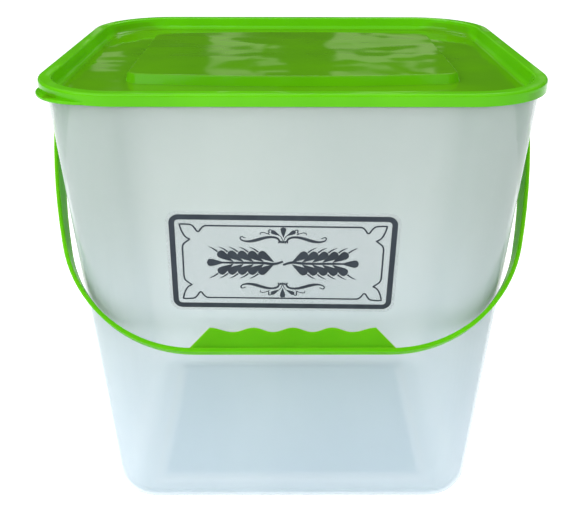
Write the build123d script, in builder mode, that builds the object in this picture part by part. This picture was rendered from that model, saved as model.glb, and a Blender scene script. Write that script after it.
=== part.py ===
from build123d import *
import os
from math import cos, hypot, radians, sin, sqrt, tan

# Food storage container: a tapered rectangular tub with a push-on lid, a bail
# handle with a finger grip, and a clear printed film on the front wall.
# Millimetres, +Z up, the origin in the middle of the face that it stands on,
# the front towards -Y.

# Tub
TUB_WIDTH = 243.6            # outer width of the mouth, along X
TUB_DEPTH = 205.6            # outer depth of the mouth, along Y
TUB_HEIGHT = 257.2
TUB_WALL = 1.5
DRAFT = 3.65                 # degrees, all four walls
MOUTH_CORNER = 40.8          # outer corner radius at the mouth
BASE_CORNER = 21.5           # outer corner radius at the base
BASE_ROUND = 19.0            # rounding where the walls meet the base
FLOOR = 1.8
FOOT_RING = 3.0              # width of the flat ring that the tub stands on
PANEL_LIFT = 2.4             # how far the base panel is pushed up inside the ring
PANEL_CORNER = 7.0
PANEL_DRAFT = 15.0
GATE_DIAMETER = 9.0          # shallow dimple at the moulding gate
GATE_DEPTH = 0.5

# Bead round the mouth, which the lid grips
BEAD = 1.3
BEAD_LOW = 3.4               # lower and upper edge of the bead, below the mouth
BEAD_HIGH = 1.0
BEAD_ROUND = 0.6

# Lid
LID_WALL = 1.5
SKIRT_GAP = 0.4              # between the bead and the skirt
PLUG_GAP = 0.3               # between the tub's wall and the lid's inner wall
SKIRT_DROP = 4.2             # the skirt's reach below the mouth
RIM_ROUND = 1.3
RIM_INNER_ROUND = 0.8
RECESS_DEPTH = 7.0           # from the top of the rim down to the panel
RECESS_DRAFT = 12.0          # degrees
RECESS_ROUND = 3.2
PLATEAU_WIDTH = 172.0
PLATEAU_DEPTH = 112.0        # at its ends
PLATEAU_BOW = 6.5            # how far its long sides bulge in the middle
PLATEAU_HEIGHT = 4.7
PLATEAU_CORNER = 9.0
PLATEAU_DRAFT = 20.0
PLATEAU_ROUND = 1.0
TAB_RADIUS = 27.5
TAB_REACH = 4.0              # past the rounded corner, along its diagonal
TAB_THICKNESS = 1.5
TAB_ROUND = 0.5

# Handle
PIVOT_HEIGHT = 240.0
BAIL_REACH = 159.0           # from the pivots to the far side of the crossbar
LEG_CLEARANCE = 4.7          # between the lid and the legs of the bail, at the pivots
BEND_RADIUS = 72.7           # outer radius of the lower bends
BEND_ANGLE = 76.5
LEG_RADIUS = 385.0           # outer radius of the slightly bowed legs
STRAP_THICKNESS = 2.2
STRAP_WIDTH_EYE = 22.0
STRAP_WIDTH_GRIP = 8.5
STRAP_ROUND = 0.6
EYE_RADIUS = 11.5
GRIP_HEIGHT = 13.4           # from the crossbar's outer face to the crests
GRIP_THICKNESS = 2.4
GRIP_TOP_HALF = 43.2         # half length along the crests
CREST_COUNT = 5
VALLEY_DEPTH = 2.3
GRIP_FOOT = 11.4             # run of the sloped ends, outwards from the crests
CREST_SHOULDER = 2.4         # from the slopes to the outer crests
REST_GAP = 0.3               # between the resting bail and the tub

# Pivot studs on the tub's side walls
PIN_RADIUS = 4.5
PIN_FIT = 0.08               # radial running clearance in the eye
SHOULDER_RADIUS = 6.5
HEAD_RADIUS = 5.6
HEAD_THICKNESS = 1.4
HEAD_TAPER = 25.0
SIDE_GAP = 0.3               # beside the eye, at the shoulder and at the head
GUSSET_REACH = 5.0
GUSSET_THICKNESS = 1.6

# Printed film
FILM_WIDTH = 115.5
FILM_HEIGHT = 56.6
FILM_CORNER = 5.5
FILM_THICKNESS = 0.12
FILM_OFFSET = -5.0           # off the middle, along X
FILM_CENTRE = 170.5          # height of its middle
FILM_TURN = -0.8             # degrees, slightly crooked

# Derived sizes
SLOPE = tan(radians(DRAFT))
BASE_WIDTH = TUB_WIDTH - 2 * TUB_HEIGHT * SLOPE
BASE_DEPTH = TUB_DEPTH - 2 * TUB_HEIGHT * SLOPE
CORNER_RATE = (MOUTH_CORNER - BASE_CORNER) / TUB_HEIGHT
LID_OVERHANG = BEAD + SKIRT_GAP + LID_WALL
LID_WIDTH = TUB_WIDTH + 2 * LID_OVERHANG
LID_DEPTH = TUB_DEPTH + 2 * LID_OVERHANG
LID_CORNER = MOUTH_CORNER + LID_OVERHANG
LID_TOP = TUB_HEIGHT + LID_WALL
SKIRT_BOTTOM = TUB_HEIGHT - SKIRT_DROP
PANEL_TOP = LID_TOP - RECESS_DEPTH
PLUG_INSET = LID_OVERHANG + TUB_WALL + PLUG_GAP
BAIL_HALF_WIDTH = LID_WIDTH / 2 + LEG_CLEARANCE + STRAP_THICKNESS
LEG_BOW = LEG_RADIUS * (1 - sin(radians(BEND_ANGLE)))
CROSSBAR_HALF = BAIL_HALF_WIDTH - LEG_BOW - BEND_RADIUS * sin(radians(BEND_ANGLE))
GRIP_CREST = BAIL_REACH - GRIP_HEIGHT
GRIP_ROOT = STRAP_THICKNESS / 2 - BAIL_REACH
CREST_PITCH = 2 * (GRIP_TOP_HALF - CREST_SHOULDER) / (CREST_COUNT - 1)
RECESS_INSET = PLUG_INSET + LID_WALL
TAB_SHIFT = (TAB_REACH + LID_CORNER - TAB_RADIUS) / sqrt(2)
TAB_CENTRE_X = LID_WIDTH / 2 - LID_CORNER + TAB_SHIFT
TAB_CENTRE_Y = LID_DEPTH / 2 - LID_CORNER + TAB_SHIFT
BASE_ROUND_RUN = BASE_ROUND / tan(radians((90 + DRAFT) / 2))
PANEL_WIDTH = BASE_WIDTH - 2 * (BASE_ROUND_RUN + FOOT_RING)
PANEL_DEPTH = BASE_DEPTH - 2 * (BASE_ROUND_RUN + FOOT_RING)
STUD_ROOT = TUB_WIDTH / 2 - (TUB_HEIGHT - PIVOT_HEIGHT) * SLOPE - TUB_WALL / 2
SHOULDER_END = BAIL_HALF_WIDTH - STRAP_THICKNESS - SIDE_GAP
HEAD_START = BAIL_HALF_WIDTH + SIDE_GAP
BEND_STEPS = 24              # points tried along a bend when the bail is laid on the tub
SAME_PLACE = 0.01            # positions closer than this count as equal


def wall_x(height):
    """Half width of the tub's outer side walls at a height."""
    return BASE_WIDTH / 2 + height * SLOPE


def wall_y(height):
    """Half depth of the tub's outer front and back walls at a height."""
    return BASE_DEPTH / 2 + height * SLOPE


def corner_at(height):
    """Outer corner radius of the tub at a height."""
    return BASE_CORNER + height * CORNER_RATE


def outside_tub(x, y, height):
    """How far a point stands outside the tub's outline at its height."""
    corner = corner_at(height)
    past_x = abs(x) - wall_x(height) + corner
    past_y = abs(y) - wall_y(height) + corner
    return hypot(max(past_x, 0), max(past_y, 0)) + min(max(past_x, past_y), 0) - corner


def strap_width(along):
    """Width of the strap at a distance from the pivots."""
    return STRAP_WIDTH_EYE + (STRAP_WIDTH_GRIP - STRAP_WIDTH_EYE) * along / BAIL_REACH


def rear_points():
    """Points of the bail that come nearest to the tub: across, along and behind its plane."""
    points = [(0, GRIP_CREST, GRIP_THICKNESS / 2)]
    radius = BEND_RADIUS - STRAP_THICKNESS
    for step in range(BEND_STEPS + 1):
        turn = radians(BEND_ANGLE * step / BEND_STEPS)
        along = BAIL_REACH - BEND_RADIUS + radius * cos(turn)
        points.append((CROSSBAR_HALF + radius * sin(turn), along, strap_width(along) / 2))
    return points


def rest_gap(angle):
    """Smallest gap between the tub and the bail hanging at an angle from straight down."""
    tilt = radians(angle)
    gaps = []
    for across, along, behind in rear_points():
        y = along * sin(tilt) - behind * cos(tilt)
        height = PIVOT_HEIGHT - along * cos(tilt) - behind * sin(tilt)
        gaps.append(outside_tub(across, y, height) * cos(radians(DRAFT)))
    return min(gaps)


def rest_angle():
    """Tilt at which the hanging bail comes to rest on the tub, found by halving."""
    low, high = 0, 90
    for _ in range(40):
        middle = (low + high) / 2
        if rest_gap(middle) < REST_GAP:
            low = middle
        else:
            high = middle
    return high


REST_ANGLE = rest_angle()


def bail_plane():
    """Plane of the resting bail: local x along X, local y up towards the pivots."""
    tilt = radians(REST_ANGLE)
    return Plane(origin=(0, 0, PIVOT_HEIGHT), x_dir=(1, 0, 0), z_dir=(0, -cos(tilt), sin(tilt)))


def front_wall_plane(height):
    """Plane on the tub's front wall, local y up the wall, normal outwards."""
    lean = radians(DRAFT)
    origin = (0, -wall_y(height), height)
    return Plane(origin=origin, x_dir=(1, 0, 0), z_dir=(0, -cos(lean), -sin(lean)))


def bail_half(offset):
    """Half of the bail's curve, inset from its outer face, from the middle to the pivot."""
    turn = radians(BEND_ANGLE)
    bend = BEND_RADIUS - offset
    leg = LEG_RADIUS - offset
    bend_centre = (CROSSBAR_HALF, BEND_RADIUS - BAIL_REACH)
    shift = LEG_RADIUS - BEND_RADIUS
    leg_centre = (bend_centre[0] - shift * sin(turn), bend_centre[1] + shift * cos(turn))
    straight = Line((0, offset - BAIL_REACH), (CROSSBAR_HALF, offset - BAIL_REACH))
    lower = CenterArc(bend_centre, bend, -90, BEND_ANGLE)
    upper = CenterArc(leg_centre, leg, BEND_ANGLE - 90, 90 - BEND_ANGLE)
    top = Line(upper @ 1, (BAIL_HALF_WIDTH - offset, 0))
    return [straight, lower, upper, top]


def bail_side_plane():
    """Plane across the resting bail: local x from the pivots to the crossbar."""
    tilt = radians(REST_ANGLE)
    return Plane(origin=(0, 0, PIVOT_HEIGHT), x_dir=(0, -sin(tilt), -cos(tilt)), z_dir=(1, 0, 0))


def grip_wave():
    """Points of the scalloped edge: crests and valleys in turn, from end to end."""
    half_pitch = CREST_PITCH / 2
    points = [(-GRIP_TOP_HALF, -GRIP_CREST)]
    for step in range(1, 2 * CREST_COUNT - 2):
        drop = VALLEY_DEPTH if step % 2 else 0
        points.append(((step - CREST_COUNT + 1) * half_pitch, -GRIP_CREST - drop))
    points.append((GRIP_TOP_HALF, -GRIP_CREST))
    return points


def at_height(shapes, height):
    """The edges or faces whose middle lies at a height."""
    return shapes.filter_by_position(Axis.Z, height - SAME_PLACE, height + SAME_PLACE)


def outside_bead(edge):
    """True for an edge on the outline of the bead."""
    centre = edge.center()
    half_width = TUB_WIDTH / 2 + BEAD
    half_depth = TUB_DEPTH / 2 + BEAD
    return abs(centre.X) > half_width - SAME_PLACE or abs(centre.Y) > half_depth - SAME_PLACE


def gusset_points(side, rise):
    """Outline of a rib beside a stud: across the ribbed shoulder, then down to the wall."""
    root = side * (wall_x(PIVOT_HEIGHT) - TUB_WALL / 2)
    far_root = side * (wall_x(PIVOT_HEIGHT + rise * (SHOULDER_RADIUS + GUSSET_REACH)) - TUB_WALL / 2)
    far = SHOULDER_RADIUS + GUSSET_REACH
    end = side * (SHOULDER_END - GUSSET_THICKNESS)
    return [(root, 0), (end, 0), (end, SHOULDER_RADIUS), (far_root, far)]


# Space inside the tub
with BuildPart() as tub_cavity:
    with BuildSketch(Plane.XY.offset(FLOOR)):
        RectangleRounded(
            2 * (wall_x(FLOOR) - TUB_WALL),
            2 * (wall_y(FLOOR) - TUB_WALL),
            corner_at(FLOOR) - TUB_WALL,
        )
    with BuildSketch(Plane.XY.offset(TUB_HEIGHT)):
        RectangleRounded(TUB_WIDTH - 2 * TUB_WALL, TUB_DEPTH - 2 * TUB_WALL, MOUTH_CORNER - TUB_WALL)
    loft(ruled=True)
    fillet(tub_cavity.faces().sort_by(Axis.Z)[0].edges(), BASE_ROUND - TUB_WALL)
    # the base panel stands up into it
    with BuildSketch(Plane.XY.offset(FLOOR)):
        RectangleRounded(
            PANEL_WIDTH + 2 * TUB_WALL,
            PANEL_DEPTH + 2 * TUB_WALL,
            PANEL_CORNER + TUB_WALL,
        )
    extrude(amount=PANEL_LIFT, taper=PANEL_DRAFT, mode=Mode.SUBTRACT)

# Tub: one moulding with its bead, pushed-up base and pivot studs
with BuildPart() as tub:
    with BuildSketch():
        RectangleRounded(BASE_WIDTH, BASE_DEPTH, BASE_CORNER)
    with BuildSketch(Plane.XY.offset(TUB_HEIGHT)):
        RectangleRounded(TUB_WIDTH, TUB_DEPTH, MOUTH_CORNER)
    loft(ruled=True)
    fillet(tub.faces().sort_by(Axis.Z)[0].edges(), BASE_ROUND)
    # bead round the mouth
    with BuildSketch(Plane.XY.offset(TUB_HEIGHT - BEAD_LOW)):
        RectangleRounded(TUB_WIDTH + 2 * BEAD, TUB_DEPTH + 2 * BEAD, MOUTH_CORNER + BEAD)
    extrude(amount=BEAD_LOW - BEAD_HIGH)
    for height in (TUB_HEIGHT - BEAD_LOW, TUB_HEIGHT - BEAD_HIGH):
        fillet(at_height(tub.edges(), height).filter_by(outside_bead), BEAD_ROUND)
    # pivot studs, ribbed against the wall
    for side in (-1, 1):
        stud_plane = Plane(origin=(side * STUD_ROOT, 0, PIVOT_HEIGHT), x_dir=(0, 1, 0), z_dir=(side, 0, 0))
        with BuildSketch(stud_plane):
            Circle(SHOULDER_RADIUS)
        extrude(amount=SHOULDER_END - STUD_ROOT)
        with BuildSketch(stud_plane):
            Circle(PIN_RADIUS)
        extrude(amount=HEAD_START - STUD_ROOT)
        with BuildSketch(stud_plane.offset(HEAD_START - STUD_ROOT)):
            Circle(HEAD_RADIUS)
        extrude(amount=HEAD_THICKNESS, taper=HEAD_TAPER)
        for rise in (-1, 1):
            upright = [(x, PIVOT_HEIGHT + rise * z) for x, z in gusset_points(side, rise)]
            with BuildSketch(Plane.XZ):
                Polygon(*upright, align=None)
            extrude(amount=GUSSET_THICKNESS / 2, both=True)
            level = [(x, rise * y) for x, y in gusset_points(side, 0)]
            with BuildSketch(Plane.XY.offset(PIVOT_HEIGHT)):
                Polygon(*level, align=None)
            extrude(amount=GUSSET_THICKNESS / 2, both=True)
    # inside, underside and the dimple at the gate
    add(tub_cavity.part, mode=Mode.SUBTRACT)
    with BuildSketch():
        RectangleRounded(PANEL_WIDTH, PANEL_DEPTH, PANEL_CORNER)
    extrude(amount=PANEL_LIFT, taper=PANEL_DRAFT, mode=Mode.SUBTRACT)
    with BuildSketch(Plane.XY.offset(PANEL_LIFT)):
        Circle(GATE_DIAMETER / 2)
    extrude(amount=GATE_DEPTH, mode=Mode.SUBTRACT)
tub.part.label = "tub"

# Clear film with the printed frame, slightly crooked on the front wall
with BuildPart() as label_film:
    with BuildSketch(front_wall_plane(FILM_CENTRE)):
        with Locations((FILM_OFFSET, 0)):
            RectangleRounded(FILM_WIDTH, FILM_HEIGHT, FILM_CORNER, rotation=FILM_TURN)
    extrude(amount=FILM_THICKNESS)
label_film.part.label = "label_film"

# Crescent that stands out past the lid's front left corner, to pull the lid off by
with BuildPart() as pull_tab:
    with BuildSketch(Plane.XY.offset(SKIRT_BOTTOM)):
        with Locations((-TAB_CENTRE_X, -TAB_CENTRE_Y)):
            Circle(TAB_RADIUS)
    extrude(amount=TAB_THICKNESS)
    fillet(pull_tab.edges().filter_by(GeomType.CIRCLE), TAB_ROUND)
    with BuildSketch(Plane.XY.offset(SKIRT_BOTTOM)):
        RectangleRounded(LID_WIDTH - 2 * LID_WALL, LID_DEPTH - 2 * LID_WALL, LID_CORNER - LID_WALL)
    extrude(amount=TAB_THICKNESS, mode=Mode.SUBTRACT)

# Lid: one moulding with its skirt, plug wall, stepped panel, plateau and pull tab
with BuildPart() as lid:
    with BuildSketch(Plane.XY.offset(SKIRT_BOTTOM)):
        RectangleRounded(LID_WIDTH, LID_DEPTH, LID_CORNER)
    extrude(amount=LID_TOP - SKIRT_BOTTOM)
    fillet(lid.edges().group_by(Axis.Z)[-1], RIM_ROUND)
    with BuildSketch(Plane.XY.offset(SKIRT_BOTTOM)):
        RectangleRounded(LID_WIDTH - 2 * LID_WALL, LID_DEPTH - 2 * LID_WALL, LID_CORNER - LID_WALL)
    extrude(amount=SKIRT_DROP, mode=Mode.SUBTRACT)
    # plug wall, which reaches down inside the tub
    with BuildSketch(Plane.XY.offset(TUB_HEIGHT)):
        RectangleRounded(
            LID_WIDTH - 2 * PLUG_INSET,
            LID_DEPTH - 2 * PLUG_INSET,
            LID_CORNER - PLUG_INSET,
        )
    extrude(amount=PANEL_TOP - LID_WALL - TUB_HEIGHT, taper=RECESS_DRAFT)
    fillet(lid.faces().sort_by(Axis.Z)[0].edges(), RECESS_ROUND)
    with BuildSketch(Plane.XY.offset(LID_TOP)):
        RectangleRounded(
            LID_WIDTH - 2 * RECESS_INSET,
            LID_DEPTH - 2 * RECESS_INSET,
            LID_CORNER - RECESS_INSET,
        )
    extrude(amount=-RECESS_DEPTH, taper=RECESS_DRAFT, mode=Mode.SUBTRACT)
    fillet(at_height(lid.faces().filter_by(Plane.XY), PANEL_TOP).edges(), RECESS_ROUND)
    rim_face = lid.faces().sort_by(Axis.Z)[-1]
    fillet(rim_face.inner_wires().edges(), RIM_INNER_ROUND)
    # plateau, hollow below
    with BuildSketch(Plane.XY.offset(PANEL_TOP)) as plateau_outline:
        with BuildLine():
            front = ThreePointArc(
                (-PLATEAU_WIDTH / 2, -PLATEAU_DEPTH / 2),
                (0, -PLATEAU_DEPTH / 2 - PLATEAU_BOW),
                (PLATEAU_WIDTH / 2, -PLATEAU_DEPTH / 2),
            )
            Line(front @ 1, (PLATEAU_WIDTH / 2, PLATEAU_DEPTH / 2))
            back = ThreePointArc(
                (PLATEAU_WIDTH / 2, PLATEAU_DEPTH / 2),
                (0, PLATEAU_DEPTH / 2 + PLATEAU_BOW),
                (-PLATEAU_WIDTH / 2, PLATEAU_DEPTH / 2),
            )
            Line(back @ 1, front @ 0)
        make_face()
        fillet(plateau_outline.vertices(), PLATEAU_CORNER)
    extrude(amount=PLATEAU_HEIGHT, taper=PLATEAU_DRAFT)
    with BuildSketch(Plane.XY.offset(PANEL_TOP - LID_WALL)):
        offset(plateau_outline.sketch_local, amount=-LID_WALL)
    extrude(amount=PLATEAU_HEIGHT, taper=PLATEAU_DRAFT, mode=Mode.SUBTRACT)
    plateau_top = at_height(lid.faces().filter_by(Plane.XY), PANEL_TOP + PLATEAU_HEIGHT)
    fillet(plateau_top.edges(), PLATEAU_ROUND)
    add(pull_tab.part)
lid.part.label = "lid"

# Handle: a strap in one plane with an eye at each end and a scalloped grip
with BuildPart() as handle:
    with BuildSketch(bail_plane()):
        with BuildLine():
            outer = bail_half(0)
            inner = bail_half(STRAP_THICKNESS)
            Line(outer[-1] @ 1, inner[-1] @ 1)
            mirror(about=Plane.YZ)
        make_face()
    extrude(amount=STRAP_WIDTH_EYE / 2, both=True)
    # the strap narrows towards the grip
    with BuildSketch(bail_side_plane()):
        with BuildLine():
            Polyline(
                (0, -STRAP_WIDTH_EYE / 2),
                (BAIL_REACH, -STRAP_WIDTH_GRIP / 2),
                (BAIL_REACH, STRAP_WIDTH_GRIP / 2),
                (0, STRAP_WIDTH_EYE / 2),
                close=True,
            )
        make_face()
    extrude(amount=BAIL_HALF_WIDTH, both=True, mode=Mode.INTERSECT)
    strap_sides = handle.faces().filter_by(GeomType.PLANE).sort_by(SortBy.AREA)[-2:]
    fillet(strap_sides.edges(), STRAP_ROUND)
    # eyes over the studs
    for side in (-1, 1):
        eye_plane = Plane(
            origin=(side * (BAIL_HALF_WIDTH - STRAP_THICKNESS), 0, PIVOT_HEIGHT),
            x_dir=(0, 1, 0),
            z_dir=(side, 0, 0),
        )
        with BuildSketch(eye_plane):
            Circle(EYE_RADIUS)
        extrude(amount=STRAP_THICKNESS)
        with BuildSketch(eye_plane):
            Circle(PIN_RADIUS + PIN_FIT)
        extrude(amount=STRAP_THICKNESS, mode=Mode.SUBTRACT)
    # grip plate with its finger scallops
    with BuildSketch(bail_plane()):
        with BuildLine():
            crests = Spline(*grip_wave(), tangents=((1, 0), (1, 0)))
            Polyline(crests @ 1, (GRIP_TOP_HALF + GRIP_FOOT, GRIP_ROOT), (0, GRIP_ROOT))
            Polyline(crests @ 0, (-GRIP_TOP_HALF - GRIP_FOOT, GRIP_ROOT), (0, GRIP_ROOT))
        make_face()
    extrude(amount=GRIP_THICKNESS / 2, both=True)
handle.part.label = "handle"

os.makedirs("parts", exist_ok=True)
for piece in (tub, label_film, lid, handle):
    export_step(piece.part, f"parts/{piece.part.label}.step")
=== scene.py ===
"""Looks of a food storage container: a milky tub, a lime lid and bail handle, and a printed film.

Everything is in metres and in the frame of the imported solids: +Z up, the front towards -Y.
"""

import logging
from collections.abc import Callable, Iterable, Sequence
from dataclasses import dataclass
from enum import Enum
from math import cos, pi, radians, sin, sqrt, tan

import bmesh
import bpy
from mathutils import Matrix, Vector


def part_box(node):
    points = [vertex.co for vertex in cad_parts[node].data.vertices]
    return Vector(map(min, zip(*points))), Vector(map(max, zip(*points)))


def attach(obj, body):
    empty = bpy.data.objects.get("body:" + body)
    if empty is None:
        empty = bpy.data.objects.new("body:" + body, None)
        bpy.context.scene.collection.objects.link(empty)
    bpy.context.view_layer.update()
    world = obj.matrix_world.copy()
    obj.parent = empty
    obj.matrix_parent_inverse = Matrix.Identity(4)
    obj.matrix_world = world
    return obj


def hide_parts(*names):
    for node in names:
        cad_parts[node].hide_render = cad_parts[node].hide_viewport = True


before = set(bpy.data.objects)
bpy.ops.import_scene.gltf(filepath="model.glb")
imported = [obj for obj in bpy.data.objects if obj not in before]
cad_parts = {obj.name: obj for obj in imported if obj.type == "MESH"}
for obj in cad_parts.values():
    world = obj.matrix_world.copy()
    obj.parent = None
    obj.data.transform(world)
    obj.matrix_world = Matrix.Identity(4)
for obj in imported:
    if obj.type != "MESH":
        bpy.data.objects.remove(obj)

LOG = logging.getLogger("container")
MM = 0.001
SAME_PLACE = 0.01 * MM  # points closer than this count as one
SHARP_TURN = radians(60)  # edges that turn more are rounded by a bevel modifier
ROUND_FACETS = 64  # of a round disc or bar
PIVOT_HEIGHT = 240.0 * MM
STRAP_THICKNESS = 2.2 * MM
BAIL_HALF_WIDTH = 131.9 * MM
EYE_SIDE_GAP = 0.3 * MM  # beside the eye, at the stud's shoulder and at its head
FINE_WAVES = 2.7  # how much closer the fine waves of a moulding follow each other
FINE_SHARE = 0.2  # and how high they are beside the broad ones
FLOW_STRETCH = (1.0, 1.0, 0.45)  # flow marks run up and down
FLOW_CONTRAST = (0.3, 0.7)  # the noise between which light turns to dark
FLOW_NOISE = {"Detail": 3.0, "Roughness": 0.5, "Distortion": 0.4}
WHITE = (1.0, 1.0, 1.0)
Colour = tuple[float, float, float]
Piece = bpy.types.Object
Material = bpy.types.Material
Socket = bpy.types.NodeSocket
Tree = bpy.types.NodeTree


class Body(Enum):
    """The bodies that move against each other."""

    TUB = "tub"
    LID = "lid"
    HANDLE = "handle"


class Slot(Enum):
    """Material slots of the record."""

    TUB = "tub_plastic"
    FILM = "label_film"
    LID = "lid_plastic"
    HANDLE = "handle_plastic"


def edit_mode(on: bool = True) -> None:
    """Enter or leave edit mode."""
    bpy.ops.object.mode_set(mode="EDIT" if on else "OBJECT")


def select_all(on: bool = True) -> None:
    """Select all or nothing of the mesh in edit mode."""
    bpy.ops.mesh.select_all(action="SELECT" if on else "DESELECT")


def deselect_all() -> None:
    """Leave nothing selected, so that an operator acts on its own piece only."""
    if bpy.context.mode != "OBJECT":
        edit_mode(False)
    bpy.ops.object.select_all(action="DESELECT")


def activate(piece: Piece) -> None:
    """Make one piece the only selected and the active one.

    Args:
        piece: The object to work on.
    """
    deselect_all()
    piece.select_set(True)
    bpy.context.view_layer.objects.active = piece


class NodeSheet:
    """A node tree being filled, with short calls to add and link nodes."""

    def __init__(self, tree: Tree) -> None:
        """Start on an empty tree."""
        self.tree = tree
        tree.nodes.clear()

    def add(self, kind: str, inputs: dict | None = None, **settings: object) -> bpy.types.Node:
        """Add a node.

        Args:
            kind: The node's type name.
            inputs: Socket name or number to a number or a colour, or to an output socket to link.
            **settings: Attributes of the node.

        Returns:
            The new node.
        """
        node = self.tree.nodes.new(kind)
        for key, value in settings.items():
            setattr(node, key, value)
        for key, value in (inputs or {}).items():
            socket = node.inputs[key]
            if isinstance(value, Socket):
                self.tree.links.new(value, socket)
            else:
                socket.default_value = (*value, 1.0) if socket.type == "RGBA" else value
        return node

    def group(self, tree: Tree, **inputs: object) -> bpy.types.Node:
        """Place a node group, its inputs given by name."""
        return self.add("ShaderNodeGroup", inputs, node_tree=tree)

    def coordinates(self, kind: str = "Object") -> Socket:
        """Return the piece's own coordinates, or its normals."""
        return self.add("ShaderNodeTexCoord").outputs[kind]

    def parts(self, vector: Socket) -> bpy.types.NodeOutputs:
        """Split a vector into X, Y and Z."""
        return self.add("ShaderNodeSeparateXYZ", {0: vector}).outputs

    def maths(self, operation: str, first: object, second: object = 0.0) -> Socket:
        """Add a Math node of one or two values or sockets, and return what it gives."""
        return self.add("ShaderNodeMath", {0: first, 1: second}, operation=operation).outputs[0]

    def spread(self, value: Socket, ends: tuple, results: tuple = (0.0, 1.0), soft: bool = True) -> Socket:
        """Spread a value over another range.

        Args:
            value: The value.
            ends: The values or sockets that give the first and the last result.
            results: Those results.
            soft: Whether the change starts and ends gently.

        Returns:
            The output socket.
        """
        kind = "SMOOTHSTEP" if soft else "LINEAR"
        given = dict(enumerate((value, *ends, *results)))
        return self.add("ShaderNodeMapRange", given, interpolation_type=kind).outputs[0]

    def mix(self, share: Socket, first: object, second: object, colours: str = "") -> Socket:
        """Mix two numbers, or two colours where a blend type is given.

        Args:
            share: The second one's share.
            first: The first number, colour or socket.
            second: The second one.
            colours: The blend type of colours.

        Returns:
            The output socket.
        """
        if colours:
            given = {0: share, 6: first, 7: second}
            return self.add("ShaderNodeMix", given, data_type="RGBA", blend_type=colours).outputs[2]
        return self.add("ShaderNodeMix", {0: share, 2: first, 3: second}, data_type="FLOAT").outputs[0]

    def surface(self, kind: str, inputs: dict, output: str = "ShaderNodeOutputMaterial") -> None:
        """Add a shader and the output node that it feeds."""
        self.add(output, {"Surface": self.add(kind, inputs).outputs[0]})


def new_material(name: str) -> tuple[Material, NodeSheet]:
    """Make a material.

    Args:
        name: Its name.

    Returns:
        The material and its empty sheet.
    """
    material = bpy.data.materials.new(name)
    material.use_nodes = True
    return material, NodeSheet(material.node_tree)


def new_group(
    name: str, inputs: dict[str, object], outputs: Sequence[str]
) -> tuple[NodeSheet, bpy.types.NodeOutputs]:
    """Make a shader node group with named sockets.

    Args:
        name: The group's name.
        inputs: Input name to its default; a tuple makes a colour, a number a float.
        outputs: Output names; Color is a colour and the others are floats.

    Returns:
        The group's sheet, and what its inputs give.
    """
    tree = bpy.data.node_groups.new(name, "ShaderNodeTree")
    for label, default in inputs.items():
        colour = isinstance(default, tuple)
        kind = "NodeSocketColor" if colour else "NodeSocketFloat"
        socket = tree.interface.new_socket(label, in_out="INPUT", socket_type=kind)
        socket.default_value = (*default, 1.0) if colour else default
    for label in outputs:
        kind = "NodeSocketColor" if label == "Color" else "NodeSocketFloat"
        tree.interface.new_socket(label, in_out="OUTPUT", socket_type=kind)
    sheet = NodeSheet(tree)
    return sheet, sheet.add("NodeGroupInput").outputs


def ripple_group() -> Tree:
    """Build the slow waves of a cooled moulding, as a height in metres.

    Returns:
        A group with inputs Wavelength and Depth and the output Height.
    """
    sheet, given = new_group("moulding_ripple", {"Wavelength": 0.04, "Depth": 0.0001}, ["Height"])
    place = sheet.coordinates()
    scale = sheet.maths("DIVIDE", 1.0, given["Wavelength"])
    broad, fine = (
        sheet.add("ShaderNodeTexNoise", {"Vector": place, "Scale": size, "Detail": 0.0}).outputs["Fac"]
        for size in (scale, sheet.maths("MULTIPLY", scale, FINE_WAVES))
    )
    both = sheet.maths("ADD", broad, sheet.maths("MULTIPLY", fine, FINE_SHARE))
    sheet.add("NodeGroupOutput", {"Height": sheet.maths("MULTIPLY", both, given["Depth"])})
    return sheet.tree


def haze_group() -> Tree:
    """Build the cloudy flow marks in plastic, as a colour and a roughness.

    Returns:
        A group with inputs Light, Dark, Size, Smooth and Rough and outputs Color and Roughness.
    """
    sheet, given = new_group(
        "flow_haze",
        {"Light": (0.8, 0.8, 0.8), "Dark": (0.7, 0.7, 0.7), "Size": 0.05, "Smooth": 0.2, "Rough": 0.3},
        ["Color", "Roughness"],
    )
    stretched = sheet.add("ShaderNodeMapping", {"Vector": sheet.coordinates(), "Scale": FLOW_STRETCH})
    scale = sheet.maths("DIVIDE", 1.0, given["Size"])
    cloud = sheet.add("ShaderNodeTexNoise", {"Vector": stretched.outputs[0], "Scale": scale, **FLOW_NOISE})
    mask = sheet.spread(cloud.outputs["Fac"], FLOW_CONTRAST)
    sheet.add("NodeGroupOutput", {
        "Color": sheet.mix(mask, given["Light"], given["Dark"], "MIX"),
        "Roughness": sheet.mix(mask, given["Smooth"], given["Rough"]),
    })
    return sheet.tree


def painted_shade_height_group() -> Tree:
    """Build a soft change of colour from the base to the mouth, used as a painted shade.

    Returns:
        A group with inputs Low, High, Bottom and Top (heights in metres) and outputs Color and Share.
    """
    sheet, given = new_group(
        "painted_shade_by_height",
        {"Low": (0.8, 0.8, 0.8), "High": (0.7, 0.7, 0.7), "Bottom": 0.0, "Top": 0.25},
        ["Color", "Share"],
    )
    height = sheet.parts(sheet.coordinates())["Z"]
    share = sheet.spread(height, (given["Bottom"], given["Top"]))
    sheet.add("NodeGroupOutput", {"Color": sheet.mix(share, given["Low"], given["High"], "MIX"), "Share": share})
    return sheet.tree


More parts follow.
